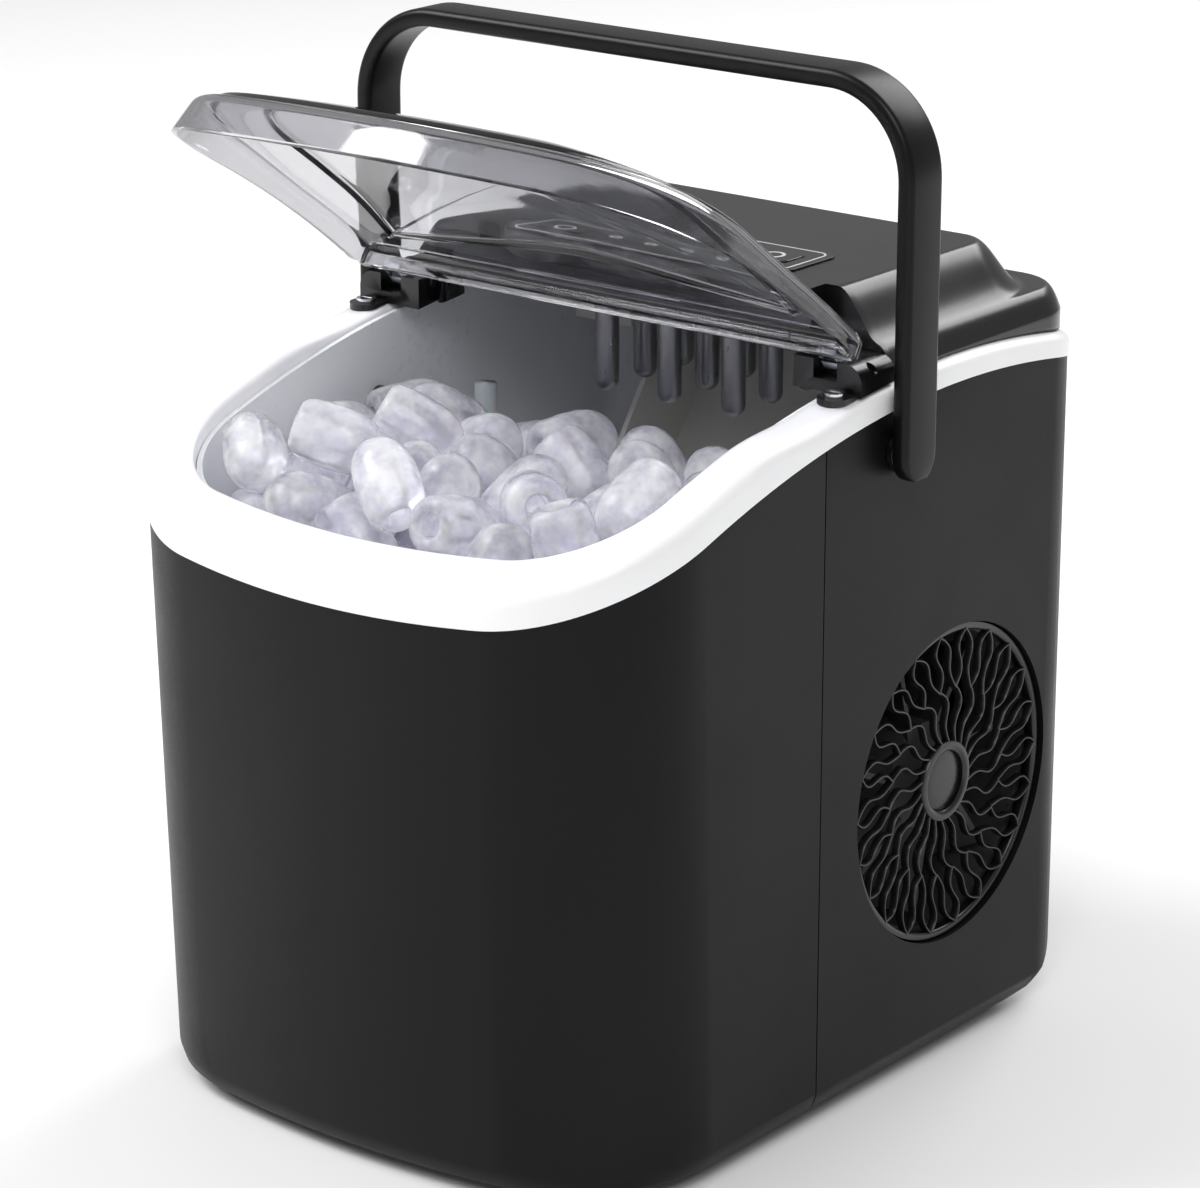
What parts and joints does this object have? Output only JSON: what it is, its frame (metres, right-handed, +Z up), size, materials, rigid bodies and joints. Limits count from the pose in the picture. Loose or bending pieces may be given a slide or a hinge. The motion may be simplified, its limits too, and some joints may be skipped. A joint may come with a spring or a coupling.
{
  "type": "countertop ice maker",
  "caption": "Portable countertop bullet-ice maker: black cabinet, white collar, hinged clear lid, carry handle, side fan grille and a bin heaped with ice.",
  "frame": {"origin": "bottom centre of the whole machine's bounding box, on the plane the feet stand on", "axes": "+Z up, -Y towards the front where the lid opens, +X towards the side with the fan grille"},
  "size_m": [0.241, 0.2924, 0.359],
  "materials": {
    "black_shell": "satin",
    "black_trim": "semi-gloss",
    "white_plastic": "satin",
    "liner_white": "satin",
    "foam": "matte",
    "rubber_black": "matte",
    "smoke_clear": "polished",
    "panel_print": "gloss",
    "key_white": "gloss",
    "chromed_steel": "polished",
    "zinc_steel": "satin",
    "nickel_copper": "satin",
    "copper": "satin",
    "fin_aluminium": "satin",
    "compressor_paint": "satin",
    "board_green": "matte",
    "basket_clear": "semi-gloss",
    "ice": "wet",
    "hose_clear": "satin",
    "grey_plastic": "satin"
  },
  "bodies": {
    "cabinet": {"front_shell": "black_shell", "rear_shell": "black_shell", "base_pan": "zinc_steel", "feet": "rubber_black", "rim_collar": "white_plastic", "bin_liner": "liner_white", "foam_jacket": "foam", "top_cover": "black_trim", "control_overlay": "panel_print", "control_board": "board_green", "hinge_block_right": "black_trim", "hinge_block_left": "black_trim", "hinge_pins": "zinc_steel", "hinge_screws": "chromed_steel", "handle_pivots": "zinc_steel", "handle_washers": "black_trim", "fan_grille": "black_trim", "fan_bracket": "grey_plastic", "fan_motor": "zinc_steel", "intake_screen": "grey_plastic", "condenser": "fin_aluminium", "compressor": "compressor_paint", "compressor_mounts": "rubber_black", "refrigerant_line": "copper", "evaporator_plate": "nickel_copper", "evaporator_fingers": "nickel_copper", "tray_motor": "white_plastic", "tray_bearing": "white_plastic", "ice_sensors": "grey_plastic", "ice_basket": "basket_clear", "ice_bullets": "ice", "water_pump": "grey_plastic", "pump_hose": "hose_clear", "main_board": "board_green", "drain_spout": "white_plastic", "cord_gland": "rubber_black"},
    "lid": {"lid_shell": "smoke_clear"},
    "handle": {"carry_handle": "black_trim"},
    "fan": {"fan_rotor": "grey_plastic"},
    "tray": {"water_tray": "white_plastic", "tray_comb": "white_plastic", "tray_shaft": "zinc_steel"},
    "power_button": {"power_key": "panel_print"},
    "select_button": {"select_key": "panel_print"},
    "plug": {"drain_plug": "rubber_black"}
  },
  "joints": [
    {"name": "lid_hinge", "type": "hinge", "parent": "cabinet", "child": "lid", "pos_m": [0, 0.0106, 0.262], "axis": [-1, 0, 0], "range_deg": [-48, 10]},
    {"name": "handle_swing", "type": "hinge", "parent": "cabinet", "child": "handle", "pos_m": [0, 0.023, 0.232], "axis": [-1, 0, 0], "range_deg": [0, 66]},
    {"name": "fan_spin", "type": "hinge", "parent": "cabinet", "child": "fan", "pos_m": [0.09, 0.061, 0.1025], "axis": [1, 0, 0], "continuous": true},
    {"name": "tray_tilt", "type": "hinge", "parent": "cabinet", "child": "tray", "pos_m": [0, 0.098, 0.251], "axis": [-1, 0, 0], "range_deg": [0, 55]},
    {"name": "power_press", "type": "slide", "parent": "cabinet", "child": "power_button", "axis": [0, 0, -1], "range_m": [0, 0.0006], "stiffness_N_per_m": 1500, "springref_m": -0.0005},
    {"name": "select_press", "type": "slide", "parent": "cabinet", "child": "select_button", "axis": [0, 0, -1], "range_m": [0, 0.0006], "stiffness_N_per_m": 1500, "springref_m": -0.0005},
    {"name": "drain_pull", "type": "slide", "parent": "cabinet", "child": "plug", "axis": [-1, 0, 0], "range_m": [0, 0.018]}
  ]
}
